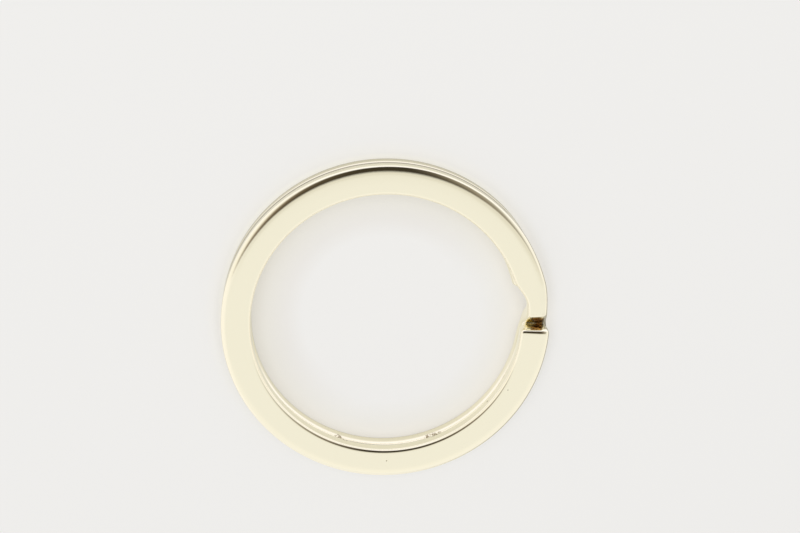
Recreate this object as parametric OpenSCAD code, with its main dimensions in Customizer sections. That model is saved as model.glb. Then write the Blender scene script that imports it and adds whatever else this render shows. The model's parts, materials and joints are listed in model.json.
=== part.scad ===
// Flat split ring: one flat wire, wound on edge into two turns that lie face to face.
// The ring rests on its back face, with its centre on the Z axis. Millimetres, +Z up.
// Angles are counted round +Z from +X. The front turn starts at its cut end, runs once round
// clockwise, steps down through the crossing and goes on as the back turn.

/* [Ring] */
// Outer diameter of the ring
ring_od = 30; // [26:0.5:36]
// Width of the flat wire, measured along the radius
wire_w = 2.7; // [2.2:0.05:3.4]
// Thickness of the wire, which is the height of one turn
wire_t = 1.54; // [1.2:0.02:2]
// Hairline gap between the two turns
turn_gap = 0.04; // [0.03:0.01:0.12]

/* [Wire edges] */
// How far the rim's rounding reaches across the broad face
rim_round_w = 0.8; // [0.4:0.05:1]
// How far the same rounding drops down the rim
rim_round_h = 0.36; // [0.24:0.02:0.5]
// Radius of the inner edges and of the edges along the seam
edge_r = 0.35; // [0.2:0.01:0.4]
// Radius of the edges round each cut end
end_r = 0.5; // [0.3:0.02:0.56]

/* [Crossing] */
// Angle at which the front turn is cut off
front_end_angle = -2; // [-30:1:30]
// Length along the wire from the front turn's cut end to the back turn's
end_spacing = 4; // [3.8:0.1:6]
// How far the back turn's cut end has sprung inwards
sprung_in = 0.2; // [0:0.02:0.3]
// Length of the back turn's end that leans inwards with it
sprung_run = 7; // [3:0.5:12]
// Length along the wire in which a face steps down by one turn
step_run = 1.5; // [1.2:0.1:2]
// How far ahead of the front face the back face makes its step
step_lead = 0.8; // [0.6:0.1:1.2]
// Depth of the hollow pressed into the wire's inner edge at the crossing
neck_depth = 0.66; // [0.3:0.02:0.9]
// Length along the wire from the front turn's cut end to the deepest point of the hollow
neck_place = 2.6; // [2:0.1:3.4]
// Length over which the hollow deepens
neck_lead_in = 2.7; // [2:0.1:3.4]
// Length over which the hollow runs out again
neck_run_out = 4.3; // [3:0.1:5]
// How far the crossing's rim is pressed flat
flat_depth = 0.24; // [0:0.02:0.4]
// Length along the wire from the front turn's cut end to the middle of the flat
flat_place = 1.2; // [0.8:0.1:2]
// Length over which the flat deepens
flat_lead_in = 3; // [2:0.1:3.4]
// Length over which the flat runs out again
flat_run_out = 2.2; // [1.6:0.1:3]
// How far the pressed stretch and the rounded ends lie below the plain turns
press_depth = 0.01; // [0.008:0.002:0.03]

/* [Hidden] */

$fn = 96;
SEAM_STEPS = 3;    // flats in the rounding of a small edge
RIM_STEPS = 6;     // flats in the rounding of the rim
END_STEPS = 5;     // rings of points round a cut end
SPRUNG_STEPS = 20; // rings of points along the sprung end
STATION = 0.75;    // degrees between two sections of the crossing
OVERLAP = 0.31;    // length for which a pressed piece runs on inside a plain turn
LEAST_R = 0.02;    // least rounding that a drawn-in section keeps

outer_r = ring_od / 2;
inner_r = outer_r - wire_w;
mid_r = outer_r - wire_w / 2;

back_bottom = 0;
back_top = wire_t;
front_bottom = wire_t + turn_gap;
front_top = front_bottom + wire_t;
turn_rise = wire_t + turn_gap;

// Angle that a length takes up along the middle of the wire
function turned(length) = length / mid_r * 180 / PI;

back_end_angle = front_end_angle + turned(end_spacing);
neck_angle = front_end_angle + turned(neck_place);
neck_starts = neck_angle + turned(neck_lead_in);
neck_ends = neck_angle - turned(neck_run_out);
flat_angle = front_end_angle + turned(flat_place);
front_step_starts = front_end_angle + turned(step_run);
back_step_starts = front_step_starts + turned(step_lead);

// Smooth rise from 0 to 1 as x goes from 0 to 1
function ease(x) = let (c = min(max(x, 0), 1)) c * c * (3 - 2 * c);

// Share of its step that a face has made at an angle, when the step starts at another
function stepped(angle, starts) = ease((starts - angle) / turned(step_run));

// Share of its depth that a pressed hollow has at an angle: it is deepest at one angle, and
// deepens and runs out over a length on each side
function pressed(angle, deepest, lead_in, run_out) = ease(
    angle > deepest
        ? 1 - (angle - deepest) / turned(lead_in)
        : 1 - (deepest - angle) / turned(run_out));

// Depth of the hollow in the inner edge, and of the flat on the rim, at an angle
function neck(angle) = neck_depth * pressed(angle, neck_angle, neck_lead_in, neck_run_out);
function flat(angle) = flat_depth * pressed(angle, flat_angle, flat_lead_in, flat_run_out);

// A quarter of an ellipse about a centre, from an angle on, as points [radius, height]
function quarter(centre, size, from, steps) = [
    for (i = [0 : steps])
        let (a = from + 90 * i / steps)
        [centre[0] + size[0] * cos(a), centre[1] + size[1] * sin(a)]
];

// Roundings as [across, down], and what is left of one when its section is drawn in
FACE_RIM = [rim_round_w, rim_round_h];
SEAM_RIM = [edge_r, edge_r];
function left_of(size, depth) = [max(size[0] - depth, LEAST_R), max(size[1] - depth, LEAST_R)];

// Section of the wire: a rectangle with its own rounding at each rim edge, and small roundings
// at the inner edges, all of it drawn in by a depth
function section(r_in, r_out, z_low, z_high, rim_low, rim_high, depth) =
    let (
        seam = left_of(SEAM_RIM, depth),
        low = left_of(rim_low, depth),
        high = left_of(rim_high, depth),
        a = r_in + depth + seam[0],
        b = r_out - depth,
        c = z_low + depth,
        d = z_high - depth
    )
    concat(
        quarter([b - high[0], d - high[1]], high, 0, RIM_STEPS),
        quarter([a, d - seam[1]], seam, 90, SEAM_STEPS),
        quarter([a, c + seam[1]], seam, 180, SEAM_STEPS),
        quarter([b - low[0], c + low[1]], low, 270, RIM_STEPS));

// Sections of the two turns, drawn in by a depth all round; the back turn's may also stand
// inwards of the plain circle
function front_section(depth) =
    section(inner_r, outer_r, front_bottom, front_top, SEAM_RIM, FACE_RIM, depth);
function back_section(depth, inwards = 0) = section(
    inner_r - inwards, outer_r - inwards, back_bottom, back_top, FACE_RIM, SEAM_RIM, depth);

// Section of the crossing at an angle: its faces step down one after the other, the inner
// edge and the rim are pressed in, and the large rounding changes from front face to back
function crossing_section(angle) =
    let (
        across = ease((back_end_angle - angle) / turned(end_spacing)),
        high = front_top - turn_rise * stepped(angle, front_step_starts),
        low = front_bottom - turn_rise * stepped(angle, back_step_starts)
    )
    section(
        inner_r + neck(angle), outer_r - flat(angle), low, high,
        SEAM_RIM * (1 - across) + FACE_RIM * across,
        FACE_RIM * (1 - across) + SEAM_RIM * across,
        press_depth);

// A solid through sections placed at falling angles
module sweep(sections, angles) {
    rings = len(sections);
    sides = len(sections[0]);
    points = [
        for (k = [0 : rings - 1])
            for (p = sections[k])
                [p[0] * cos(angles[k]), p[0] * sin(angles[k]), p[1]]
    ];
    first_cap = [for (i = [0 : sides - 1]) i];
    last_cap = [for (i = [0 : sides - 1]) rings * sides - 1 - i];
    walls = [
        for (k = [0 : rings - 2])
            for (i = [0 : sides - 1])
                let (
                    j = (i + 1) % sides,
                    a = k * sides + i,
                    b = k * sides + j,
                    c = a + sides,
                    d = b + sides
                )
                each [[a, c, b], [b, c, d]]
    ];
    polyhedron(points, concat([first_cap, last_cap], walls));
}

// How far a rounded end draws in at a distance from its cut
function end_depth(distance) =
    let (x = max(end_r - distance, 0))
    press_depth + end_r - sqrt(end_r * end_r - x * x);

// Distances from the cut at which the two ends have their sections: close together round the
// edge, then one past the front end's overlap, or steps along all of the sprung back end
EDGE_PLACES = [for (i = [0 : END_STEPS]) end_r * (1 - cos(90 * i / END_STEPS))];
FRONT_PLACES = concat(EDGE_PLACES, [end_r + 2 * OVERLAP]);
BACK_PLACES = concat(
    EDGE_PLACES,
    [for (i = [1 : SPRUNG_STEPS]) end_r + (sprung_run + OVERLAP) * i / SPRUNG_STEPS]);

// How far inwards the back turn stands at a distance from its cut
function lean(distance) = sprung_in * ease(1 - distance / sprung_run);

// The front turn, from where the crossing starts round to its cut end
module front_turn() {
    from = neck_starts;
    to = 360 + front_end_angle - turned(end_r + OVERLAP);
    rotate_extrude(start = from, angle = to - from)
        polygon(front_section(0));
}

// The back turn, from its cut end round to where the crossing ends
module back_turn() {
    from = back_end_angle + turned(end_r + sprung_run);
    to = 360 + neck_ends;
    rotate_extrude(start = from, angle = to - from)
        polygon(back_section(0));
}

// The rounded end of the front turn
module front_end() {
    sweep(
        [for (d = FRONT_PLACES) front_section(end_depth(d))],
        [for (d = FRONT_PLACES) front_end_angle - turned(d)]);
}

// The sprung, rounded end of the back turn, built from its root to its cut
module back_end() {
    count = len(BACK_PLACES);
    places = [for (i = [count - 1 : -1 : 0]) BACK_PLACES[i]];
    sweep(
        [for (d = places) back_section(end_depth(d), lean(d))],
        [for (d = places) back_end_angle + turned(d)]);
}

// The pressed stretch that carries the wire from the front turn down to the back turn
module crossing() {
    from = neck_starts + turned(OVERLAP);
    to = neck_ends - turned(OVERLAP);
    count = ceil((from - to) / STATION);
    angles = [for (k = [0 : count]) from + (to - from) * k / count];
    sweep([for (a = angles) crossing_section(a)], angles);
}

module split_ring() {
    color([0.93, 0.88, 0.70])
    union() {
        front_turn();
        back_turn();
        crossing();
        front_end();
        back_end();
    }
}

split_ring();
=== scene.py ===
# %% [markdown]
# # A flat split ring in polished gold plate
# A split ring holds keys. It is one flat wire, wound on edge into two turns that lie face to
# face. The front turn starts at a cut end, runs once round, steps down through a short crossing
# and carries on as the back turn. This lesson builds that wire as one swept surface, and then
# spends most of its care on the two things that sell polished metal: the rounding of the edges,
# and the room that they mirror.
#
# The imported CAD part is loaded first. It is the fixed frame: it says how large the ring is and
# where it lies, and the new wire has to stay inside its box.

# %% Load the frame
import json
import math

import bpy
import numpy as np
from mathutils import Matrix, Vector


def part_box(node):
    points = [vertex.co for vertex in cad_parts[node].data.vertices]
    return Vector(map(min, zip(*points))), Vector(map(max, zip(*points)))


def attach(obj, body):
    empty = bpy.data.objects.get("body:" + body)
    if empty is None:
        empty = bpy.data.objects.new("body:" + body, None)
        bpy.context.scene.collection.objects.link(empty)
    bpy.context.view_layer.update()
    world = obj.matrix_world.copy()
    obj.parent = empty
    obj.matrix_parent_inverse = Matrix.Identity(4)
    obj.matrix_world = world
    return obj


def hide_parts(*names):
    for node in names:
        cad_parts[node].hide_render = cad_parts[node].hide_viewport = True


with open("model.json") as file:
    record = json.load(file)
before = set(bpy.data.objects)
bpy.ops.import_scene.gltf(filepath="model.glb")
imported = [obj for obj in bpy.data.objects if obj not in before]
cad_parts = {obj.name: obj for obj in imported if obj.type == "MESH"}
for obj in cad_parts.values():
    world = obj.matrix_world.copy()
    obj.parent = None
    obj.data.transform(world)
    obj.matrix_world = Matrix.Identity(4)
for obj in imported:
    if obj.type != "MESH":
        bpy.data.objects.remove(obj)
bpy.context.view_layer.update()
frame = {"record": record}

# %% [markdown]
# ## Sizes
# The driving sizes come from the frame: the box of the CAD ring gives its outer radius and its
# height, and the mount named ring_opening gives the radius of the hole. What the box can't say,
# such as the roundings, is a named value here. Everything is in metres, so a millimetre is a
# value of its own.

# %% Sizes of the wire
mm = 0.001

ring_low, ring_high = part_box("split_ring")
mounts = {mount["name"]: mount for mount in frame["record"]["mounts"]}

outer_r = -ring_low[0]
inner_r = mounts["ring_opening"]["dims"]["r_mm"] * mm
ring_height = ring_high[2] - ring_low[2]
turn_gap = 0.04 * mm

wire_t = (ring_height - turn_gap) / 2
wire_w = outer_r - inner_r
mid_r = outer_r - wire_w / 2
turn_rise = wire_t + turn_gap
print(f"wire {wire_w / mm:.2f} x {wire_t / mm:.2f} mm, opening {2 * inner_r / mm:.1f} mm across")

# %% [markdown]
# ## Roundings
# No edge of a tumbled and plated wire is sharp. Each rounding is a pair: how far it reaches
# across the face, and how far it drops down the side. The rim of an open face has a long, low
# one, the edges along the seam and round the hole have small ones, and the edge of the back
# turn that the hole shows below the front turn is worn taller. Bevelling a finished mesh could
# round them too, but here they are part of the section, so each can be a different ellipse.
#
# The front turn's cut end is rounded like the tip of a thumb: its top dips further than its
# underside. The four sides get a slight crown, because no rolled or polished face is quite flat.

# %% Roundings and crown
rim_round = (0.8 * mm, 0.36 * mm)
seam_round = (0.35 * mm, 0.35 * mm)
hidden_round = (0.32 * mm, 0.60 * mm)
hole_round = (0.25 * mm, 0.35 * mm)
least_round = 0.02 * mm
end_round = 0.5 * mm
thumb_high, thumb_low = 1.5, 0.8
front_reach = 0.13 * mm
face_crown = 0.03 * mm
side_crown = 0.02 * mm
print("rim rounding in mm:", [round(size / mm, 2) for size in rim_round])

# %% [markdown]
# ## The wire's course
# The whole wire is described by one number, its travel: the angle in degrees that it has turned
# since the front turn's cut end. Lengths along the wire are easier to measure on a real ring, so
# they are given in millimetres and turned into angles at the middle of the wire.
#
# A curve with a bevel object could sweep the wire in a few clicks, but it carries one section
# all along. This wire's section changes through the crossing, so the sweep is worked out here.

# %% Places along the wire
def turned(length):
    """Angle in degrees that a length takes up along the middle of the wire: length over radius."""
    return math.degrees(length / mid_r)


end_spacing = 4.0 * mm
step_lead = 0.8 * mm
front_end_angle = -2.0
back_end_angle = front_end_angle + turned(end_spacing)
step_run = turned(1.5 * mm)
front_step_starts = front_end_angle + step_run
back_step_starts = front_step_starts + turned(step_lead)
sprung_in = 0.2 * mm
sprung_run = turned(7.0 * mm)
whole_travel = 720.0 + front_end_angle - back_end_angle
print(f"the wire turns {whole_travel:.1f} degrees, and its two cut ends lie at",
      f"{front_end_angle:.1f} and {back_end_angle:.1f}")

# %% [markdown]
# The press that bends the crossing leaves three marks on it: a neck hollowed into the inner
# edge, a flat on the rim, and a heel where the upper inner edge is rounder. Each is deepest at
# one angle and runs out over a length on either side.

# %% The press's marks on the crossing
neck_depth = 0.66 * mm
neck_angle = front_end_angle + turned(2.6 * mm)
neck_lead_in = turned(2.7 * mm)
neck_run_out = turned(4.3 * mm)

flat_depth = 0.24 * mm
flat_angle = front_end_angle + turned(1.2 * mm)
flat_lead_in = turned(3.0 * mm)
flat_run_out = turned(2.2 * mm)

heel_round = (0.55 * mm, 0.6 * mm)
heel_angle = front_end_angle + turned(0.7 * mm)
heel_lead_in = turned(1.3 * mm)
heel_run_out = turned(1.5 * mm)

press_depth = 0.01 * mm
crossing_from = 360 + front_end_angle - (neck_angle + neck_lead_in)
crossing_to = 360 + front_end_angle - (neck_angle - neck_run_out)
print(f"the crossing lies between {crossing_from:.1f} and {crossing_to:.1f} degrees of travel")

# %% [markdown]
# Three small shaping functions do all the bending. Each takes whole arrays, so no loop over
# points is needed. A smooth step rises from 0 to 1 with level ends, which is how pressed metal
# starts and stops to bend.

# %% Shaping functions
def ease(x):
    """Smooth rise from 0 to 1 as x goes from 0 to 1: three x squared minus two x cubed."""
    x = np.clip(x, 0, 1)
    return x * x * (3 - 2 * x)


def stepped(angle, starts):
    """Share of its step down that a face has made at an angle: eased over one step length."""
    return ease((starts - angle) / step_run)


def pressed(angle, deepest, lead_in, run_out):
    """Share of a pressed mark's depth: 1 at its deepest angle, eased to 0 on both sides."""
    before = 1 - (angle - deepest) / lead_in
    after = 1 - (deepest - angle) / run_out
    return ease(np.where(angle > deepest, before, after))


print("a smooth step at its quarters:", ease(np.linspace(0, 1, 5)).round(3).tolist())

# %% [markdown]
# Sections are placed along the wire where they are needed: close together round the two cut
# ends and through the crossing, and wider apart on the plain turns, where a section for each
# degree already looks round.

# %% Stations along the wire
PLAIN_STEP = 0.9
CROSSING_STEP = 0.16
END_STEPS = 18


def spaced(start, stop, step):
    """Evenly spaced values from start up to, and without, stop, about one step apart."""
    return np.linspace(start, stop, max(1, round((stop - start) / step)), endpoint=False)


edge_places = turned(end_round) * (1 - np.cos(np.linspace(0, np.pi / 2, END_STEPS + 1)))
front_start = -turned(front_reach)
travel = np.concatenate([
    front_start + edge_places,
    spaced(front_start + edge_places[-1], crossing_from, PLAIN_STEP)[1:],
    spaced(crossing_from, crossing_to, CROSSING_STEP),
    spaced(crossing_to, whole_travel - edge_places[-1], PLAIN_STEP),
    whole_travel - edge_places[::-1],
])
angle = front_end_angle + 360 - travel
print(len(travel), "stations along the wire")

# %% [markdown]
# ## The section
# Cut across, the wire is a rectangle with rounded corners. The two outer corners of each turn
# differ: the one on the open face has a long, low rounding, and the one at the seam a small one.
# On the way through the crossing these two change places. All four corners are quarters of an
# ellipse, and the crown of the sides between them lets the tone drift gently across a face.
#
# First come the levels of the two faces and the marks at every station. The back face steps
# down a little ahead of the front face, so that the slanting wire keeps its thickness.

# %% Levels and marks at each station
front_level = ring_high[2] - turn_rise * stepped(angle, front_step_starts)
back_level = ring_high[2] - wire_t - turn_rise * stepped(angle, back_step_starts)
neck = neck_depth * pressed(angle, neck_angle, neck_lead_in, neck_run_out)
flat = flat_depth * pressed(angle, flat_angle, flat_lead_in, flat_run_out)
heel = pressed(angle, heel_angle, heel_lead_in, heel_run_out)
lean = sprung_in * ease(1 - (whole_travel - travel) / sprung_run)
print(f"deepest neck {neck.max() / mm:.2f} mm, flat {flat.max() / mm:.2f} mm,",
      f"back end leaning in by {lean.max() / mm:.2f} mm")

# %% [markdown]
# Near a cut the section draws in on all sides, which rounds the end. The crossing and the two
# ends are drawn in by a hair as well, as they are in the CAD part.

# %% Rounded ends
arc_length = np.radians(1) * mid_r


def end_depth(distance):
    """How far a rounded end draws in at a distance from its cut: a quarter circle. With x what
    the distance leaves of the radius, it is radius less the root of radius squared less x squared.
    """
    x = np.clip(end_round - distance, 0, end_round)
    return end_round - np.sqrt(end_round**2 - x**2)


cut_travel = np.minimum(travel - front_start, whole_travel - travel)
from_cut = cut_travel * arc_length
from_pressed = np.minimum(np.abs(travel - 360), cut_travel)
pressed_in = press_depth * ease(2 - from_pressed / neck_run_out)
rounded = end_depth(from_cut)
depth = rounded + pressed_in
thumb = travel < whole_travel / 2
print(f"one degree along the wire is {arc_length / mm:.3f} mm")

# %% The four edges of each section
section_inner = inner_r + neck - lean + depth
section_outer = outer_r - flat - lean - depth
section_low = back_level + pressed_in + rounded * np.where(thumb, thumb_low, 1)
section_high = front_level - pressed_in - rounded * np.where(thumb, thumb_high, 1)
print(f"sections {(section_outer - section_inner).max() / mm:.2f} mm wide at most and",
      f"{(section_high - section_low).max() / mm:.2f} mm tall at most")

# %% [markdown]
# Each corner's rounding is mixed from two pairs by how far the wire has changed over from front
# turn to back turn. Where the section draws in, the roundings shrink with it.

# %% Roundings at each station
def left_of(size):
    """What a rounding keeps when its section is drawn in: its size less the depth, or a trace."""
    return np.maximum(size - depth[:, None], least_round)


swap = ease((back_end_angle - angle) / (back_end_angle - front_end_angle))
face_rim = np.array(rim_round)
seam_rim = np.array(seam_round)
front_rim = np.outer(1 - swap, face_rim) + np.outer(swap, seam_rim)
back_rim = np.outer(1 - swap, seam_rim) + np.outer(swap, face_rim)
front_hole = np.outer(1 - swap, seam_rim) + np.outer(swap, np.array(hidden_round))
front_hole = front_hole + np.outer(heel, np.array(heel_round) - seam_rim)
back_hole = np.broadcast_to(np.array(hole_round), (len(travel), 2))
print(f"changing over at {int(((swap > 0) & (swap < 1)).sum())} stations")

# %% Corners and the straights between them
def corner(r_edge, z_edge, size, outwards, upwards, start, steps):
    """A quarter ellipse in every section: centre plus size times cosine and sine of its angle."""
    centre_r = r_edge - outwards * size[:, 0]
    centre_z = z_edge - upwards * size[:, 1]
    turn = np.radians(start + 90 * np.arange(steps + 1) / steps)
    return (centre_r[:, None] + size[:, :1] * np.cos(turn),
            centre_z[:, None] + size[:, 1:] * np.sin(turn))


def straight(first, last, steps):
    """The points between two corners, without their ends: evenly spaced on a straight line."""
    share = np.arange(1, steps) / steps
    return tuple(a[:, -1:] + (b[:, :1] - a[:, -1:]) * share for a, b in zip(first, last))


RIM_STEPS = 12
SEAM_STEPS = 8
front_outer = corner(section_outer, section_high, left_of(front_rim), 1, 1, 0, RIM_STEPS)
front_inner = corner(section_inner, section_high, left_of(front_hole), -1, 1, 90, SEAM_STEPS)
back_inner = corner(section_inner, section_low, left_of(back_hole), -1, -1, 180, SEAM_STEPS)
back_outer = corner(section_outer, section_low, left_of(back_rim), 1, -1, 270, RIM_STEPS)
print("points in the four corners:", 2 * (RIM_STEPS + 1) + 2 * (SEAM_STEPS + 1))

# %% The outline of every section
FACE_STEPS = 12
SIDE_STEPS = 6

parts = [
    front_outer, straight(front_outer, front_inner, FACE_STEPS),
    front_inner, straight(front_inner, back_inner, SIDE_STEPS),
    back_inner, straight(back_inner, back_outer, FACE_STEPS),
    back_outer, straight(back_outer, front_outer, SIDE_STEPS),
]
radius = np.concatenate([part[0] for part in parts], axis=1)
height = np.concatenate([part[1] for part in parts], axis=1)
print(radius.shape[1], "points in each section")

# %% Crown the four sides
def crowned(across, along, half_across, half_along, crown):
    """Moves points towards the middle line by the crown times their distance along, squared."""
    return across * (1 - crown / half_across * (along / half_along) ** 2)


middle_r = (section_inner + section_outer)[:, None] / 2
middle_z = (section_low + section_high)[:, None] / 2
off_r = radius - middle_r
off_z = height - middle_z
height = middle_z + crowned(off_z, off_r, wire_t / 2, wire_w / 2, face_crown)
radius = middle_r + crowned(off_r, off_z, wire_w / 2, wire_t / 2, side_crown)
print(f"the wire's points lie {radius.min() / mm:.2f} to {radius.max() / mm:.2f} mm out")

# %% [markdown]
# ## From sections to a closed mesh
# The sections form a grid, stations by points, and every cell of that grid is one four-sided
# face. The last column of cells joins the last point to the first, so the tube closes on itself.
# At each cut the section shrinks in a few rings to one point in its middle, which closes the
# end. The points of all this are computed as whole arrays and handed to Blender in one call.

# %% Close the two ends
CAP_RINGS = 6


def cap(section_r, section_z, centre_r, centre_z):
    """A section shrunk in even rings towards its centre, the centre itself left out."""
    share = 1 - np.arange(1, CAP_RINGS)[:, None] / CAP_RINGS
    return centre_r + (section_r - centre_r) * share, centre_z + (section_z - centre_z) * share


def with_caps(first, body, last):
    """The rings of a body with those of a cap before them and those of a cap after them."""
    return np.concatenate([first, body, last])


first_cap = cap(radius[0], height[0], middle_r[0], middle_z[0])
last_cap = cap(radius[-1], height[-1], middle_r[-1], middle_z[-1])
grid_r = with_caps(first_cap[0][::-1], radius, last_cap[0])
grid_z = with_caps(first_cap[1][::-1], height, last_cap[1])
same_angle = np.ones(CAP_RINGS - 1)
grid_angle = np.radians(with_caps(angle[0] * same_angle, angle, angle[-1] * same_angle))[:, None]
print(CAP_RINGS - 1, "rings and a middle point close each end")

# %% Points of the wire
grid = np.stack([grid_r * np.cos(grid_angle), grid_r * np.sin(grid_angle), grid_z], axis=-1)
centres = np.array([
    [middle_r[end, 0] * math.cos(math.radians(angle[end])),
     middle_r[end, 0] * math.sin(math.radians(angle[end])),
     middle_z[end, 0]]
    for end in (0, -1)])
points = np.vstack([grid.reshape(-1, 3), centres])
print(len(points), "points")

# %% Faces of the wire
def tube_faces(rings, sides):
    """Corner numbers of every cell between ring k and k + 1 and point j and j + 1, cyclic in j."""
    k, j = np.meshgrid(np.arange(rings - 1), np.arange(sides), indexing="ij")
    after = (j + 1) % sides
    cells = np.stack([k * sides + j, k * sides + after, (k + 1) * sides + after,
                      (k + 1) * sides + j], axis=-1)
    return cells.reshape(-1, 4)


def fan_faces(first, sides, centre):
    """Triangles from a ring of points, numbered from first, to a centre point."""
    j = np.arange(sides)
    return np.stack([first + (j + 1) % sides, first + j, np.full(sides, centre)], axis=-1)


rings, sides = grid_r.shape
walls = tube_faces(rings, sides)
start_fan = fan_faces(0, sides, rings * sides)
end_fan = fan_faces((rings - 1) * sides, sides, rings * sides + 1)[:, ::-1]
faces = (walls, start_fan, end_fan)
print(len(walls), "four-sided faces and", len(start_fan) + len(end_fan), "triangles")

# %% Put the wire into a mesh
def mesh_from(name, points, faces):
    """A piece with a smooth mesh, from an array of points and blocks of corner numbers."""
    mesh = bpy.data.meshes.new(name)
    mesh.from_pydata(points.tolist(), [], [face for block in faces for face in block.tolist()])
    mesh.polygons.foreach_set("use_smooth", np.ones(len(mesh.polygons), dtype=bool))
    mesh.update()
    piece = bpy.data.objects.new(name, mesh)
    bpy.context.scene.collection.objects.link(piece)
    return piece


wire = mesh_from("gold_wire", points, faces)
print("made", wire.name, "with", len(wire.data.polygons), "faces")

# %% [markdown]
# A closed mesh whose faces all point outwards holds a positive volume, so the volume is a quick
# test of both. The crown and the larger roundings leave it a little under the CAD solid's.

# %% Measure the volume
def volume_inside(points, faces):
    """Sum of the signed tetrahedra between the origin and each triangle: a sixth of the first
    corner dotted with the cross product of the other two."""
    total = 0.0
    for block in faces:
        for last in range(2, block.shape[1]):
            a, b, c = points[block[:, 0]], points[block[:, last - 1]], points[block[:, last]]
            total += np.einsum("ij,ij->", a, np.cross(b, c)) / 6
    return total


print(f"volume {volume_inside(points, faces) / mm**3:.1f} cubic millimetres")

# %% [markdown]
# ## Painted shade
# Two places on the wire get painted shade, a darker colour where shade falls, and the material
# has to know where they are, so each gets a value from 0 to 1 at every point of the mesh. The
# first is the groove round the rim, where the two roundings face each other at the seam; its
# shade is painted into the colour. It lies on the front turn's lower corner and on the back
# turn's upper corner, and it fades out beside the crossing. It starts a few degrees into each
# corner's turn, and later along the ring's +Y side.

# %% How deep each corner lies in the groove
GROOVE_BEGINS, GROOVE_LATER, GROOVE_DEEPENS = 13, 17, 12
groove_starts = GROOVE_BEGINS + GROOVE_LATER * np.clip(np.sin(np.radians(angle)), 0, 1) ** 3


def towards_seam(steps, rising):
    """How deep in the groove each point of a corner lies, at every station, as the corner turns
    from the side wall to the hidden face: 0 up to groove_starts degrees, 1 a little further on."""
    turn = 90 * np.arange(steps + 1) / steps
    turn = turn if rising else 90 - turn
    return ease((turn[None, :] - groove_starts[:, None]) / GROOVE_DEEPENS)


open_face = np.zeros((len(travel), FACE_STEPS - 1))
open_side = np.zeros((len(travel), SIDE_STEPS - 1))
open_rim = np.zeros((len(travel), RIM_STEPS + 1))
open_hole = np.zeros((len(travel), SEAM_STEPS + 1))
below_seam = np.hstack([towards_seam(RIM_STEPS, True), open_face, open_hole, open_side,
                        open_hole, open_face, open_rim, open_side])
above_seam = np.hstack([open_rim, open_face, open_hole, open_side,
                        open_hole, open_face, towards_seam(RIM_STEPS, False), open_side])
print(f"the groove starts {groove_starts.min():.0f} to {groove_starts.max():.0f} degrees",
      "into its corners")

# %% Mark the groove's painted shade
GROOVE_DEPTH, GROOVE_DRIFT = 0.9, 0.1
clear_before, clear_after = turned(5.0 * mm), turned(3.0 * mm)


def mark_points(piece, name, values):
    """One number for each point of the wire, under a name that a material can read. The values
    are those of the sections, and the two closed ends get 0."""
    no_mark = np.zeros((CAP_RINGS - 1, sides))
    layer = piece.data.attributes.new(name, "FLOAT", "POINT")
    values = np.append(with_caps(no_mark, values, no_mark), [0, 0])
    layer.data.foreach_set("value", values.astype(np.float32).ravel())


in_groove = (1 - swap[:, None]) * above_seam + swap[:, None] * below_seam
near_crossing = pressed((angle + 180) % 360 - 180, (front_end_angle + back_end_angle) / 2,
                        clear_before, clear_after)
# The groove's painted shade is deeper towards +X.
groove_darkness = GROOVE_DEPTH + GROOVE_DRIFT * np.cos(np.radians(angle))
in_groove = in_groove * ((1 - near_crossing) * groove_darkness)[:, None]
mark_points(wire, "groove", in_groove)
print("share of the points in the groove:", round(float((in_groove > 0.5).mean()), 3))

# %% [markdown]
# The second is the step in the pocket between the front turn's cut end and the crossing. The
# steep face where the wire steps down lies in the pocket's shade, and that shade is painted on it
# as dark, mottled brown. The mark covers the upper half of the sections in which the step is
# under way.

# %% Mark the painted shade on the step
POCKET_SHADE_FROM, POCKET_SHADE_GROWS = 0.15, 0.10

step_done = stepped(angle, front_step_starts)
down_step = ease((step_done - POCKET_SHADE_FROM) / POCKET_SHADE_GROWS) * (step_done < 1)
pocket_shade = down_step[:, None] * (height > middle_z)
mark_points(wire, "pocket_shade", pocket_shade)
print("points on the bare step:", int((pocket_shade > 0.5).sum()))

# %% [markdown]
# ## Gold plate
# Thin gold plating over steel looks paler than solid gold. It is a metal, so all of its colour
# is in what it mirrors: the base colour tints the mirror image, and a low roughness keeps that
# image clear. A painted image could carry the nicks and the painted shade, but nodes work them
# out from the place on the ring, so they stay sharp at any size and need no unwrapping.
#
# A material is a small network of nodes, its tree, and here plate is short for the plate's
# tree. A few helpers keep the code readable: one gives an input its value, one adds a node, one
# adds and links it, and one starts an empty material.

# %% Start the gold plate
def feed(tree, socket, value):
    """Gives an input its value: a link from another socket, or a number or colour of its own."""
    if isinstance(value, bpy.types.NodeSocket):
        tree.links.new(value, socket)
    else:
        socket.default_value = value


def add_node(tree, kind, **values):
    """A node of a kind, with its properties and its named inputs set from the values."""
    node = tree.nodes.new(kind)
    for name, value in values.items():
        if name in node.inputs:
            node.inputs[name].default_value = value
        else:
            setattr(node, name, value)
    return node


def linked(tree, kind, inputs, **values):
    """A node as add_node makes it, whose inputs, named or numbered, are then fed."""
    node = add_node(tree, kind, **values)
    for name, value in inputs.items():
        feed(tree, node.inputs[name], value)
    return node


def new_material(name):
    """A material with an empty node tree and its output node."""
    material = bpy.data.materials.new(name)
    material.use_nodes = True
    material.node_tree.nodes.clear()
    output = add_node(material.node_tree, "ShaderNodeOutputMaterial")
    return material, material.node_tree, output


gold_plate, plate, plate_output = new_material("gold_plate")
place = add_node(plate, "ShaderNodeTexCoord").outputs["Object"]
print("started the gold plate with", len(plate.nodes), "nodes")

# %% [markdown]
# Real plating is never one smoothness all over. Tumbling leaves it finely grained and faintly
# wavy. Both are noise, used as a very small bump: a bump tilts the mirror image and leaves the
# shape alone, which is right for marks of a few thousandths of a millimetre.

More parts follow.
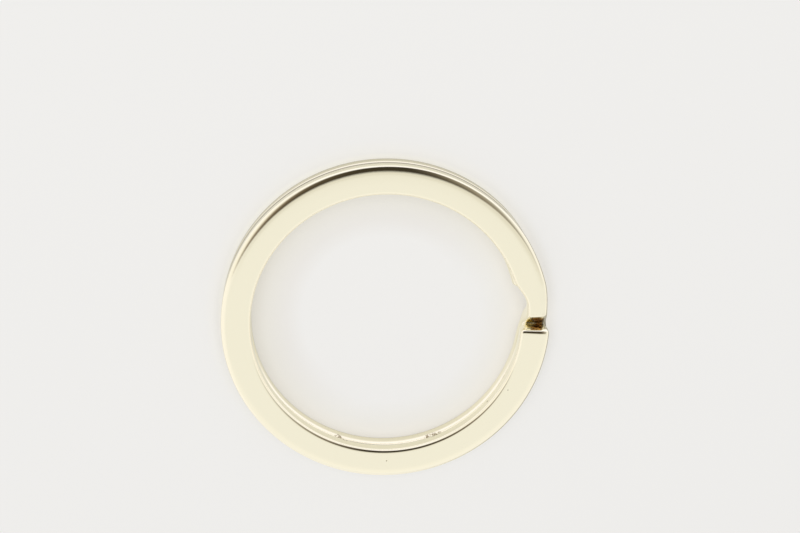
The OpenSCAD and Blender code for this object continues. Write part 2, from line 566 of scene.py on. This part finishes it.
# %% Grain and waves
GRAIN = {"Scale": 4500.0, "Detail": 2.0}
GRAIN_HEIGHT = 0.002 * mm
WAVES = {"Scale": 700.0, "Detail": 1.0}
WAVE_HEIGHT = 0.003 * mm


def noise(tree, place, settings):
    """Soft noise between 0 and 1 over a place, with a scale and a detail."""
    return linked(tree, "ShaderNodeTexNoise", {"Vector": place}, **settings).outputs["Fac"]


grained = linked(plate, "ShaderNodeBump", {"Height": noise(plate, place, GRAIN)},
                 Strength=1.0, Distance=GRAIN_HEIGHT)
waved = linked(plate, "ShaderNodeBump",
               {"Height": noise(plate, place, WAVES), "Normal": grained.outputs["Normal"]},
               Strength=1.0, Distance=WAVE_HEIGHT)
print("grain and waves, heights in metres:", GRAIN_HEIGHT, WAVE_HEIGHT)

# %% [markdown]
# Every pattern from here on is arithmetic. A number that changes from place to place, such as
# the distance from the ring's axis, is spread over a range to give a share from 0 to 1. A share
# can mix two colours, and shares are multiplied where several things must hold at once.

# %% Distance from the axis
def off_axis(tree, place):
    """The distance of a place from the Z axis, and the place's own x, y and z."""
    parts = linked(tree, "ShaderNodeSeparateXYZ", {"Vector": place}).outputs
    level = linked(tree, "ShaderNodeCombineXYZ", {"X": parts["X"], "Y": parts["Y"]})
    length = linked(tree, "ShaderNodeVectorMath", {0: level.outputs["Vector"]},
                    operation="LENGTH")
    return length.outputs["Value"], parts["X"], parts["Y"], parts["Z"]


place_out, _, _, place_up = off_axis(plate, place)
print(len(plate.nodes), "nodes in the gold plate so far")

# %% Shares of a range
MOTTLE = {"Scale": 5500.0, "Detail": 3.0}
POCKET_BLOTCHES = (0.42, 0.62)


def spread(tree, value, low, high, smooth=False):
    """0 at low and 1 at high, on a straight line or with eased ends."""
    node = linked(tree, "ShaderNodeMapRange", {"Value": value, "From Min": low, "From Max": high},
                  interpolation_type="SMOOTHSTEP" if smooth else "LINEAR")
    return node.outputs["Result"]


def spread_out(tree, share, least, most):
    """A number that goes from least to most as a share goes from 0 to 1."""
    node = linked(tree, "ShaderNodeMapRange", {"Value": share, "To Min": least, "To Max": most})
    return node.outputs["Result"]


mottle_noise = noise(plate, place, MOTTLE)
blotches = spread(plate, mottle_noise, *POCKET_BLOTCHES, smooth=True)
print(f"blotches rise where the noise goes from {POCKET_BLOTCHES[0]} to {POCKET_BLOTCHES[1]}")

# %% [markdown]
# A Mix node has a row of sockets for each kind of value, all with the same names, so those for
# colours are told by their numbers.

# %% Mixing colours
GOLD = (0.93, 0.88, 0.70)
# The pocket's painted shade runs from a dark brown to a lighter brown.
POCKET_SHADE_DARK = (0.07, 0.027, 0.003)
POCKET_SHADE_LIGHT = (0.66, 0.38, 0.12)
MIX_FIRST, MIX_SECOND, MIX_RESULT = 6, 7, 2


def mixed(tree, share, first, second):
    """A colour on the way from the first to the second, by a share. Each is a socket or a colour
    of three numbers."""
    node = linked(tree, "ShaderNodeMix", {"Factor": share}, data_type="RGBA")
    for number, colour in ((MIX_FIRST, first), (MIX_SECOND, second)):
        is_socket = isinstance(colour, bpy.types.NodeSocket)
        feed(tree, node.inputs[number], colour if is_socket else (*colour, 1))
    return node.outputs[MIX_RESULT]


# Painted shade of the pocket, mottled between its two browns.
pocket_shade_colour = mixed(plate, blotches, POCKET_SHADE_DARK, POCKET_SHADE_LIGHT)
print("the torn metal goes from", POCKET_SHADE_DARK, "to", POCKET_SHADE_LIGHT)

# %% [markdown]
# The patch of painted shade on the step is held in by two radii. Noise makes the inner one
# ragged, and low down in the pocket it lies further out, so the patch narrows towards its foot.
# Both are done by shifting the radius before it is compared: adding noise to it, and taking a
# little off it low down.

# %% Sums and products
RAGGED = {"Scale": 2200.0, "Detail": 2.0}
RAGGED_BY = 0.35 * mm
FOOT_HEIGHTS = (2.4 * mm, 1.6 * mm)
FOOT_NARROWS = 0.50 * mm


def reckoned(tree, operation, first, second):
    """The result of one operation on two numbers, each a socket or a value."""
    node = linked(tree, "ShaderNodeMath", {0: first, 1: second}, operation=operation)
    return node.outputs["Value"]


def times(tree, first, second):
    """The first times the second."""
    return reckoned(tree, "MULTIPLY", first, second)


def plus(tree, first, second):
    """The first plus the second."""
    return reckoned(tree, "ADD", first, second)


def minus(tree, first, second):
    """The first less the second."""
    return reckoned(tree, "SUBTRACT", first, second)


ragged_noise = noise(plate, place, RAGGED)
ragged = plus(plate, place_out, spread_out(plate, ragged_noise, -RAGGED_BY, RAGGED_BY))
foot = spread(plate, place_up, *FOOT_HEIGHTS)
ragged = plus(plate, ragged, spread_out(plate, foot, 0, -FOOT_NARROWS))
print(f"ragged by up to {RAGGED_BY / mm:.2f} mm, {FOOT_NARROWS / mm:.2f} mm narrower at its foot")

# %% The patch of painted shade
PATCH_INNER = (13.22 * mm, 13.38 * mm)
PATCH_OUTER = (14.56 * mm, 14.42 * mm)

patch = add_node(plate, "ShaderNodeAttribute", attribute_name="pocket_shade").outputs["Fac"]
patch = times(plate, patch, spread(plate, ragged, *PATCH_INNER, smooth=True))
patch = times(plate, patch, spread(plate, place_out, *PATCH_OUTER, smooth=True))
print(f"the patch reaches from {PATCH_INNER[0] / mm:.2f} to {PATCH_OUTER[0] / mm:.2f} mm out")

# %% [markdown]
# Wear leaves three pinpricks, and the hole's edge has two dark marks near the seam, set evenly
# either side of -Y. A mark is a small ball set on the ring: inside it the plate is darker, and
# noise breaks it up. A pinprick is one ball, and each mark at the hole's edge is two or three in
# a row.

# %% Nicks and dark marks
DARK_MARK = (0.30, 0.245, 0.145)
NICK_CORE = 0.4
NICK_BREAKS = (0.44, 0.54)
hole_edge_marks = [(-65.6, inner_r, 1.65 * mm, 0.50 * mm), (-67.8, inner_r, 1.60 * mm, 0.60 * mm),
          (-70.4, inner_r, 1.50 * mm, 0.50 * mm), (-107.6, inner_r, 1.75 * mm, 0.48 * mm),
          (-110.0, inner_r, 1.45 * mm, 0.50 * mm)]
pinpricks = [(-39.0, inner_r, 2.34 * mm, 0.16 * mm), (-89.0, 13.38 * mm, ring_height, 0.10 * mm),
             (-29.1, 12.98 * mm, ring_height, 0.08 * mm)]


def nicked(tree, place, balls):
    """1 in the core of each ball, fading to 0 at its edge. A ball is an angle in degrees, a
    radius on the ring, a height and a size."""
    total = 0.0
    for turn, out, up, size in balls:
        turn = math.radians(turn)
        middle = (out * math.cos(turn), out * math.sin(turn), up)
        away = linked(tree, "ShaderNodeVectorMath", {0: place, 1: middle}, operation="DISTANCE")
        ball = spread(tree, away.outputs["Value"], size, NICK_CORE * size, smooth=True)
        total = plus(tree, ball, total)
    return total


dark_marks = times(plate, nicked(plate, place, hole_edge_marks + pinpricks),
             spread(plate, mottle_noise, *NICK_BREAKS, smooth=True))
print(len(hole_edge_marks), "balls in the scuffs and", len(pinpricks), "pinpricks")

# %% [markdown]
# The colours go on top of each other: gold first, then the pocket's painted shade, the groove's
# painted shade, and the nicks and dark marks. Only the pocket's patch is rough. The shader is the
# Principled one with its metallic value at 1, which is the plainest choice for a polished metal.
#
# The finished piece stands for the CAD solid, which is then hidden, and rides on the ring's only
# body.

# %% Put the gold plate on the wire
# The groove's painted shade, then the roughness of the plate and of the pocket's patch.
GROOVE_SHADE = (0.20, 0.175, 0.12)
PLATE_ROUGH, POCKET_ROUGH = 0.07, 0.45

groove_shade_mask = add_node(plate, "ShaderNodeAttribute", attribute_name="groove").outputs["Fac"]
plate_colour = mixed(plate, patch, GOLD, pocket_shade_colour)
plate_colour = mixed(plate, groove_shade_mask, plate_colour, GROOVE_SHADE)
plate_colour = mixed(plate, dark_marks, plate_colour, DARK_MARK)
metal = linked(plate, "ShaderNodeBsdfPrincipled",
               {"Base Color": plate_colour,
                "Roughness": spread_out(plate, patch, PLATE_ROUGH, POCKET_ROUGH),
                "Normal": waved.outputs["Normal"]},
               Metallic=1.0)
plate.links.new(metal.outputs["BSDF"], plate_output.inputs["Surface"])

wire.data.materials.append(gold_plate)
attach(wire, "root")
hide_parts("split_ring")
print("the gold plate has", len(plate.nodes), "nodes")

# %% [markdown]
# ## Table and room
# A polished ring is mostly a picture of its surroundings, so they matter as much as the metal.
# The table is one pale sheet of satin paper, so wide that its edge never shows.

# %% A sheet for the table
table_half = 1.5


def flat_sheet(name, half, level):
    """A square sheet of one face, level with the floor: four corners at plus and minus half."""
    corners = np.array([[-1, -1], [1, -1], [1, 1], [-1, 1]]) * half
    mesh = bpy.data.meshes.new(name)
    mesh.from_pydata([(x, y, level) for x, y in corners.tolist()], [], [(0, 1, 2, 3)])
    sheet = bpy.data.objects.new(name, mesh)
    bpy.context.scene.collection.objects.link(sheet)
    return sheet


table = flat_sheet("table", table_half, ring_low[2])
print(f"a table of {2 * table_half:.0f} m on a side")

# %% [markdown]
# The gold's warm glow on the paper beside it is painted into the paper's colour, and so is the
# shade on the floor of the hole. The colour is strung out over its distance from the middle of
# the wire, which is negative inside the hole. There are two strings of colours: one for the side
# that is nearer to the lamp, where the wire shades the floor of the hole, and one for the far
# side.

# %% Painted glow and shade beside the wire
PALE = (0.856, 0.847, 0.829)
PAPER_REACH = 7 * mm
# Painted warm glow just outside the wire, painted shade inside the hole.
painted_light_by_lamp = [
    (-6 * mm, PALE), (-4.5 * mm, (0.82, 0.80, 0.768)), (-3 * mm, (0.805, 0.785, 0.735)),
    (-1.3 * mm, (0.81, 0.785, 0.72)), (1.35 * mm, (0.94, 0.92, 0.85)),
    (1.8 * mm, (0.865, 0.85, 0.815)), (3 * mm, PALE)]
painted_light_beyond = [
    (-5 * mm, PALE), (-3 * mm, (0.845, 0.83, 0.79)), (-1.3 * mm, (0.855, 0.825, 0.76)),
    (1.35 * mm, (0.93, 0.905, 0.855)), (1.8 * mm, (0.86, 0.845, 0.81)), (2.5 * mm, PALE)]
print(len(painted_light_by_lamp), "colours by the lamp and", len(painted_light_beyond), "beyond the wire")

# %% String the colours out on the paper
LAMP_SIDE, FAR_SIDE = 6 * mm, -6 * mm


def strung_out(tree, value, reach, stops):
    """Colours strung out over a value that runs from minus its reach to plus its reach. A new
    ramp has two marks of its own, which take the first two stops."""
    node = linked(tree, "ShaderNodeValToRGB", {"Fac": spread(tree, value, -reach, reach)})
    marks = node.color_ramp.elements
    for number, (at, colour) in enumerate(stops):
        along = (at / reach + 1) / 2
        mark = marks[number] if number < 2 else marks.new(along)
        mark.position = along
        mark.color = (*colour, 1)
    return node.outputs["Color"]


table_paper, paper, paper_output = new_material("table_paper")
table_place = add_node(paper, "ShaderNodeTexCoord").outputs["Object"]
table_out, table_x, table_y, _ = off_axis(paper, table_place)
from_wire = minus(paper, table_out, mid_r)
beyond = spread(paper, minus(paper, table_y, table_x), LAMP_SIDE, FAR_SIDE)
paper_and_painted_light = mixed(paper, beyond, strung_out(paper, from_wire, PAPER_REACH, painted_light_by_lamp),
                     strung_out(paper, from_wire, PAPER_REACH, painted_light_beyond))
print(len(paper.nodes), "nodes in the paper so far")

# %% [markdown]
# The wire's walls mirror the paper right beside them. Outside the ring a wall faces outwards,
# and inside the hole it faces inwards, so two numbers say which wall mirrors a place: how far
# it lies towards +X, and how far towards +Y, both turned about inside the hole. Outside, the
# second counts for about half, which draws its colours out over a longer stretch.

# %% Which wall mirrors a place
OUTSIDE_FROM, OUTSIDE_TO = mid_r - 0.5 * mm, mid_r + 0.5 * mm
OUTSIDE_Y_SHARE = 0.55

outside = spread(paper, table_out, OUTSIDE_FROM, OUTSIDE_TO)
wall_x = times(paper, table_x, spread_out(paper, outside, -1, 1))
wall_y = times(paper, table_y, spread_out(paper, outside, -1, OUTSIDE_Y_SHARE))
print(f"outside begins at {OUTSIDE_FROM / mm:.2f} mm from the axis")

# %% [markdown]
# The paper's satin sheen is painted: for the metal it glows brighter at a low slant than from
# straight above. Layer Weight's facing value is 0 where a ray meets the paper head-on and 1 where
# it grazes it, so it tells which of the two the metal sees, in every view alike. The lowest slants
# see the brightest colour everywhere. Beside the ring, at +X, painted shade makes the table
# darker, as if something stood there.

# %% The table as the metal sees it
STEEP = (0.80, 0.785, 0.705)
SLANTED = (1.25, 1.23, 1.36)
BESIDE = (0.40, 0.385, 0.34)
STEEP_REACH, SLANTED_REACH = 12 * mm, 9 * mm
SLANT = (0.12, 0.5)
SHALLOW = (0.60, 0.85)
BESIDE_X = (11.5 * mm, 13.5 * mm)
BESIDE_Y = (9.5 * mm, 7.5 * mm)
# The brighter first colours are painted light, for the walls on the ring's lit side.
table_steep = [(-10 * mm, (0.90, 0.88, 0.81)), (-5 * mm, STEEP)]
table_slanted = [(-9 * mm, (0.88, 0.87, 0.82)), (-5 * mm, STEEP), (3 * mm, STEEP),
                 (6 * mm, SLANTED)]

facing = add_node(paper, "ShaderNodeLayerWeight").outputs["Facing"]
painted_sheen_and_shade = mixed(paper, spread(paper, facing, *SLANT, smooth=True),
              strung_out(paper, wall_x, STEEP_REACH, table_steep),
              strung_out(paper, wall_y, SLANTED_REACH, table_slanted))
painted_sheen_and_shade = mixed(paper, spread(paper, facing, *SHALLOW, smooth=True), painted_sheen_and_shade, SLANTED)
# Painted shade beside the ring at +X.
beside = times(paper, spread(paper, wall_x, *BESIDE_X, smooth=True),
               spread(paper, table_y, *BESIDE_Y, smooth=True))
painted_sheen_and_shade = mixed(paper, beside, painted_sheen_and_shade, BESIDE)
print("the metal sees the table go from", STEEP, "to", SLANTED)

# %% [markdown]
# Close under the wire the paper gets little light. Ambient Occlusion measures that: it is 1 in
# the open and falls where something near hides the sky. Outside the ring the shade begins at
# once, and inside the hole it begins later and is fainter along the wall at +X.

# %% Shade where the wire rests
CONTACT = (0.16, 0.15, 0.12)
CONTACT_REACH = 1.0 * mm
CONTACT_SAMPLES = 8
CONTACT_INSIDE, CONTACT_OUTSIDE = 0.6, 0.95
CONTACT_FULL = 0.15
FAINT_X = (-5 * mm, -11 * mm)
FAINT_SHARE = 0.3

open_sky = add_node(paper, "ShaderNodeAmbientOcclusion", Distance=CONTACT_REACH,
                    samples=CONTACT_SAMPLES)
shade_begins = spread_out(paper, outside, CONTACT_INSIDE, CONTACT_OUTSIDE)
contact = spread(paper, open_sky.outputs["AO"], shade_begins, CONTACT_FULL)
faint = times(paper, spread(paper, wall_x, *FAINT_X), spread_out(paper, outside, 1, 0))
contact = times(paper, contact, spread_out(paper, faint, 1, FAINT_SHARE))
painted_sheen_and_shade = mixed(paper, contact, painted_sheen_and_shade, CONTACT)
print(f"the shade reaches {CONTACT_REACH / mm:.1f} mm")

# %% [markdown]
# Light Path tells who looks. For light itself the paper is plain and matt. The camera sees it
# with half of its shade taken off, and far away with all of it, which gives a clean pale ground.
# The metal mostly sees the painted sheen and shade.

# %% Put the paper on the table
SHADE_LIFTED = 0.5
LIFTED_FROM, LIFTED_WHOLLY = 60 * mm, 300 * mm
PAINTED_SHEEN_SHARE = 0.7


def for_rays(tree, kind, share, first, second):
    """The first shader, with a share of the second one for one kind of ray."""
    is_kind = add_node(tree, "ShaderNodeLightPath").outputs[kind]
    both = linked(tree, "ShaderNodeMixShader",
                  {"Fac": times(tree, is_kind, share), 1: first, 2: second})
    return both.outputs["Shader"]


matt = linked(paper, "ShaderNodeBsdfDiffuse", {"Color": paper_and_painted_light})
unshaded = linked(paper, "ShaderNodeEmission", {"Color": paper_and_painted_light}, Strength=1.0)
mirrored = linked(paper, "ShaderNodeEmission", {"Color": painted_sheen_and_shade}, Strength=1.0)
far_off = spread(paper, table_out, LIFTED_FROM, LIFTED_WHOLLY, smooth=True)
lifted = spread_out(paper, far_off, SHADE_LIFTED, 1)
surface = for_rays(paper, "Is Camera Ray", lifted, matt.outputs["BSDF"],
                   unshaded.outputs["Emission"])
surface = for_rays(paper, "Is Glossy Ray", PAINTED_SHEEN_SHARE, surface, mirrored.outputs["Emission"])
paper.links.new(surface, paper_output.inputs["Surface"])
table.data.materials.append(table_paper)
print("the paper has", len(paper.nodes), "nodes")

# %% [markdown]
# The room is a pale dome of even light with one dark region, as a real room has on the side away
# from its window: that region draws the dark line along the rounded rims. An image of a real
# room, wrapped round the scene, is the usual way to get such lines. Drawn with nodes, the room
# needs no file, and each line on the ring can be put where it belongs.
#
# The world's nodes know the direction of a ray, and two angles name it: up, from straight above
# towards +Y, and side, from there towards +X.

# %% Directions in the room
def in_degrees(tree, socket):
    """An angle in degrees, from one in radians."""
    return times(tree, socket, 180 / math.pi)


room_world = bpy.data.worlds.new("room")
bpy.context.scene.world = room_world
room_world.use_nodes = True
room = room_world.node_tree
room.nodes.clear()
room_output = add_node(room, "ShaderNodeOutputWorld")
direction = add_node(room, "ShaderNodeTexCoord").outputs["Generated"]
axes = linked(room, "ShaderNodeSeparateXYZ", {"Vector": direction}).outputs
up = in_degrees(room, reckoned(room, "ARCTAN2", axes["Y"], axes["Z"]))
side = in_degrees(room, reckoned(room, "ARCSINE", axes["X"], 0.0))
print("started the room with", len(room.nodes), "nodes")

# %% [markdown]
# Three tones make the walls: bright ones on both sides, pale ones between them whose colour
# drifts with the angle up, and a dimmer stretch where the dark region begins.

# %% The walls
RIGHT_ANGLE = 90
BRIGHT_WALL = (1.07, 1.05, 1.05)
PALE_WALL = (0.955, 0.955, 0.945)
DIM_WALL = (0.83, 0.815, 0.77)
PALE_SIDES = ((-45, -25), (80, 55))
DIM_SIDES = ((-26, -12), (60, 46))
DIM_UPS = ((-18, -5), (40, 24))
wall_colours = [
    (-90, (0.92, 0.91, 0.90)), (-78, (0.98, 0.98, 0.98)), (-60, (1.03, 1.02, 1.02)),
    (-45, (1.02, 1.01, 0.99)), (-34, (0.985, 0.98, 0.965)), (-26, PALE_WALL), (58, PALE_WALL),
    (70, (1.22, 1.20, 1.30))]


def between(tree, value, borders):
    """1 between two borders and 0 beyond them: the product of two eased steps. A border is a
    pair: where its step is still 0, and where it has become 1."""
    rise, fall = (spread(tree, value, *border, smooth=True) for border in borders)
    return times(tree, rise, fall)


room_walls = mixed(room, between(room, side, PALE_SIDES), BRIGHT_WALL,
                   strung_out(room, up, RIGHT_ANGLE, wall_colours))
dim = times(room, between(room, side, DIM_SIDES), between(room, up, DIM_UPS))
room_walls = mixed(room, dim, room_walls, DIM_WALL)
print(len(wall_colours), "colours on the pale walls")

# %% [markdown]
# The dark region has four borders in up: where it starts, where it is fully dark, where it thins
# out and where it ends. Each is given at a few side angles and runs straight between them. Its
# colour changes with the side angle too.

# %% Borders and colours of the dark region
shadow_colours = [
    (-52, (1.05, 1.03, 1.00)), (-46, (0.94, 0.91, 0.86)), (-42, (0.76, 0.72, 0.65)),
    (-38, (0.56, 0.51, 0.44)), (-34, (0.36, 0.31, 0.25)), (-30, (0.23, 0.18, 0.135)),
    (-25, (0.14, 0.11, 0.075)), (-18, (0.09, 0.07, 0.045)), (-6, (0.05, 0.04, 0.026)),
    (10, (0.048, 0.04, 0.027)), (18, (0.12, 0.10, 0.075)), (24, (0.21, 0.185, 0.145)),
    (30, (0.31, 0.27, 0.22)), (36, (0.35, 0.32, 0.27)), (40, (0.41, 0.38, 0.34)),
    (44, (0.52, 0.50, 0.46)), (48, (0.69, 0.67, 0.64)), (53, (0.87, 0.85, 0.83)),
    (58, (1.05, 1.04, 1.04))]
shadow_starts = [(-46, -12), (-38, -11), (-30, -10), (-20, -8), (-10, -3), (0, -1), (10, -1),
                 (20, 1), (30, 1), (38, 0), (46, -9), (54, -12)]
shadow_deepens = [(-46, -3), (-38, -2), (-30, 2), (-20, 8), (-10, 16), (0, 21), (10, 20),
                  (20, 14), (30, 11), (38, 8), (46, 2), (54, -4)]
shadow_thins = [(-40, 26), (-30, 34), (-20, 42), (-8, 50), (0, 54), (12, 60), (20, 60), (28, 48),
                (36, 42), (50, 34)]
shadow_ends = [(-40, 66), (-30, 68), (-20, 74), (0, 76), (12, 80), (22, 82), (32, 78), (50, 72)]
print("the dark region runs from", shadow_starts[0][0], "to", shadow_starts[-1][0],
      "degrees to the side")

# %% The dark region
def degrees_across(tree, side, stops):
    """A number of degrees that changes with the side angle: a ramp of greys, spread out over
    plus and minus a right angle."""
    greys = [(at, ((degrees + RIGHT_ANGLE) / (2 * RIGHT_ANGLE),) * 3) for at, degrees in stops]
    grey = strung_out(tree, side, RIGHT_ANGLE, greys)
    return spread_out(tree, grey, -RIGHT_ANGLE, RIGHT_ANGLE)


starts, deepens, thins, ends = (
    degrees_across(room, side, stops)
    for stops in (shadow_starts, shadow_deepens, shadow_thins, shadow_ends))
dark = times(room, spread(room, up, starts, deepens, smooth=True),
             minus(room, 1.0, spread(room, up, thins, ends, smooth=True)))
room_colour = mixed(room, dark, room_walls, strung_out(room, side, RIGHT_ANGLE, shadow_colours))
print(len(shadow_colours), "colours in the dark region")

# %% [markdown]
# Only mirrors see that room. The table gets an even, plain light from it, and the camera sees it
# as pale as the table, so a low view has one background.

# %% Put the room round the ring
ROOM_LEVEL = 0.5

room_rays = add_node(room, "ShaderNodeLightPath").outputs
unmirrored = mixed(room, room_rays["Is Camera Ray"], (ROOM_LEVEL,) * 3, PALE)
seen = mixed(room, room_rays["Is Glossy Ray"], unmirrored, room_colour)
background = linked(room, "ShaderNodeBackground", {"Color": seen}, Strength=1.0)
room.links.new(background.outputs["Background"], room_output.inputs["Surface"])
print("the room has", len(room.nodes), "nodes")

# %% [markdown]
# The lamp only models the table's soft shade. It is off to one side, large enough for a soft
# border, and hidden from the mirror. Light from a small square falls off with the square of its
# distance and with the slant at both ends, so its power is worked out from its place: that keeps
# the table's brightness the same wherever the lamp is put.

# %% The lamp
lamp_place = (-0.05, 0.12, 0.6)
lamp_size = 0.5
lamp_share = 0.62


def soft_lamp():
    """A square lamp above and to one side. Its power gives lamp_share of full light: share times
    pi squared times distance to the fourth over height squared."""
    light = bpy.data.lights.new("soft_lamp", "AREA")
    light.shape = "SQUARE"
    light.size = lamp_size
    away = math.dist(lamp_place, (0, 0, 0))
    light.energy = lamp_share * math.pi**2 * away**4 / lamp_place[2]**2
    lamp = bpy.data.objects.new("soft_lamp", light)
    lamp.location = lamp_place
    lamp.visible_glossy = False
    bpy.context.scene.collection.objects.link(lamp)
    return lamp


lamp = soft_lamp()
print(f"a lamp of {lamp.data.energy:.2f} W")

# %% [markdown]
# The two turns mirror each other in the seam, so light needs more bounces between shiny surfaces
# than usual before it leaves.

# %% Bounces in the seam
bpy.context.scene.cycles.glossy_bounces = 12
print(bpy.context.scene.cycles.glossy_bounces, "glossy bounces")

# %% [markdown]
# ## Camera
# The camera looks down on the ring from above and a little from its +Y side, so the near rims
# show their height and the far ones hide it. Its place is given the other way round, as
# what carries the ring in front of a fixed camera: turned, tilted, rolled, moved aside and
# pushed away.

# %% The camera
SENSOR_WIDTH = 36
LENS = 73.23
camera_distance = 149.22 * mm
camera_tilt = math.radians(18.07)
camera_yaw = math.radians(3.42)
camera_roll = math.radians(-1.05)
camera_aside = (-1.32 * mm, -4.95 * mm)

eye = bpy.data.cameras.new("camera")
eye.sensor_width = SENSOR_WIDTH
eye.lens = LENS
camera = bpy.data.objects.new("camera", eye)
bpy.context.scene.collection.objects.link(camera)
seam_level = (ring_low[2] + ring_high[2]) / 2
into_view = (Matrix.Translation((*camera_aside, -camera_distance))
             @ Matrix.Rotation(camera_roll, 4, "Z")
             @ Matrix.Rotation(camera_tilt, 4, "X")
             @ Matrix.Rotation(camera_yaw, 4, "Y")
             @ Matrix.Translation((0, 0, -seam_level)))
camera.matrix_world = into_view.inverted()
bpy.context.scene.camera = camera
bpy.context.scene.view_settings.view_transform = "Standard"
print(f"the camera stands {camera_distance / mm:.0f} mm away")
